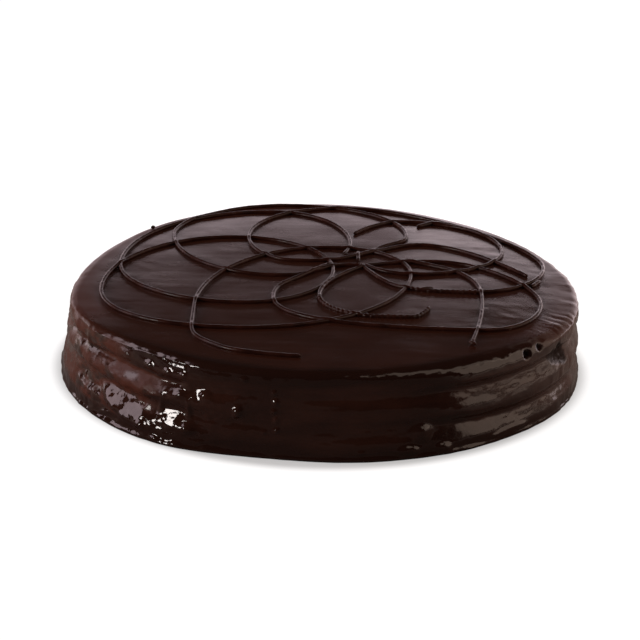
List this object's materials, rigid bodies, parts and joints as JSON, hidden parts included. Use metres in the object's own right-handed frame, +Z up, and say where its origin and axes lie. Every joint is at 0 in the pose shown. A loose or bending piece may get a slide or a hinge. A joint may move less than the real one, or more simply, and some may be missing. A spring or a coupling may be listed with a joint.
{
  "type": "sachertorte cake",
  "caption": "Whole round layer cake under a poured dark chocolate coat, with piped chocolate lines in a loose rosette on its flat top.",
  "frame": {"origin": "centre of the flat underside, at the middle of the outline", "axes": "+Z up out of the decorated top; -Y is the side that faces the viewer in the picture"},
  "size_m": [0.2674, 0.2674, 0.0475],
  "materials": {
    "cake": "glossy poured dark chocolate, stands in for the edible coat"
  },
  "bodies": {
    "root": {"cake": "cake"}
  },
  "joints": []
}
